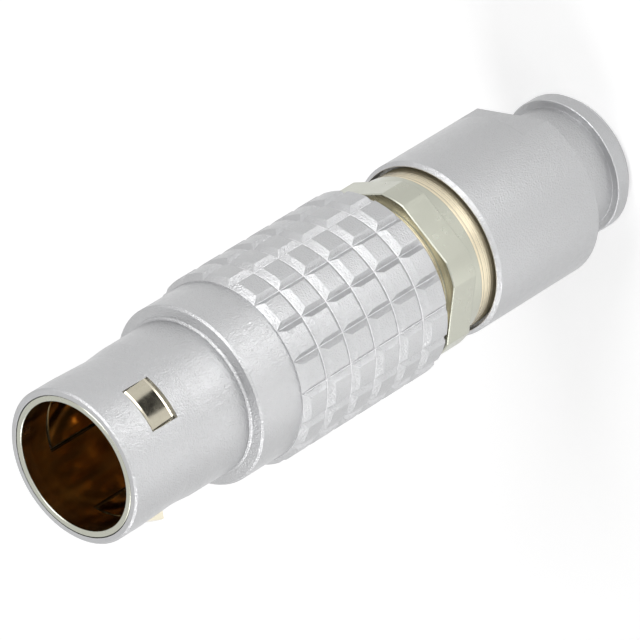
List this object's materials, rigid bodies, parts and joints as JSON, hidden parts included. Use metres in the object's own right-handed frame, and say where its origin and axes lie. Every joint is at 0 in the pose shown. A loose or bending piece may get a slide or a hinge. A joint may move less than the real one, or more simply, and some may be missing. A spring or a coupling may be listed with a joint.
{
  "type": "push pull circular cable plug",
  "caption": "Straight round push pull cable plug with a knurled sliding shell, three latches and a back nut.",
  "frame": {"origin": "centre of the rear face, on the plug's axis, where it stands", "axes": "+Z along the plug's axis from the rear flange to the mouth; -Y towards the middle of the first latch"},
  "size_m": [0.015, 0.015, 0.0549],
  "materials": {
    "satin_chrome": "satin",
    "sleeve_nickel": "polished",
    "finger_nickel": "polished",
    "half_shell_nickel": "satin",
    "insulator_plastic": "matte",
    "contact_gold": "polished",
    "clamp_brass": "satin"
  },
  "bodies": {
    "plug_body": {"latch_sleeve": "sleeve_nickel", "half_shell_upper": "half_shell_nickel", "half_shell_lower": "half_shell_nickel", "contact_insulator": "insulator_plastic", "contact_pin_01": "contact_gold", "contact_pin_02": "contact_gold", "contact_pin_03": "contact_gold", "contact_pin_04": "contact_gold", "contact_pin_05": "contact_gold", "contact_pin_06": "contact_gold", "contact_pin_07": "contact_gold", "contact_pin_08": "contact_gold", "contact_pin_09": "contact_gold", "contact_pin_10": "contact_gold", "earthing_cone": "clamp_brass", "clamp_collet": "clamp_brass"},
    "pull_shell": {"outer_shell": "satin_chrome"},
    "latch_1": {"latch_finger_1": "finger_nickel"},
    "latch_2": {"latch_finger_2": "finger_nickel"},
    "latch_3": {"latch_finger_3": "finger_nickel"},
    "nut": {"back_nut": "satin_chrome"}
  },
  "joints": [
    {"name": "shell_slide", "type": "slide", "parent": "plug_body", "child": "pull_shell", "axis": [0, 0, -1], "range_m": [0, 0.001], "stiffness_N_per_m": 3000, "springref_m": -0.002},
    {"name": "latch_1_flex", "type": "hinge", "parent": "plug_body", "child": "latch_1", "pos_m": [0, -0.00494, 0.04245], "axis": [-1, 0, 0], "range_deg": [0, 5.8]},
    {"name": "latch_2_flex", "type": "hinge", "parent": "plug_body", "child": "latch_2", "pos_m": [0.00428, 0.00247, 0.04245], "axis": [0.5, -0.866, 0], "range_deg": [0, 5.8]},
    {"name": "latch_3_flex", "type": "hinge", "parent": "plug_body", "child": "latch_3", "pos_m": [-0.00428, 0.00247, 0.04245], "axis": [0.5, 0.866, 0], "range_deg": [0, 5.8]},
    {"name": "nut_unscrew", "type": "slide", "parent": "plug_body", "child": "nut", "axis": [0, 0, -1], "range_m": [0, 0.004]}
  ],
  "couplings": [
    {"joint": "latch_1_flex", "follows": "shell_slide", "rad_per_m": 100},
    {"joint": "latch_2_flex", "follows": "shell_slide", "rad_per_m": 100},
    {"joint": "latch_3_flex", "follows": "shell_slide", "rad_per_m": 100}
  ]
}
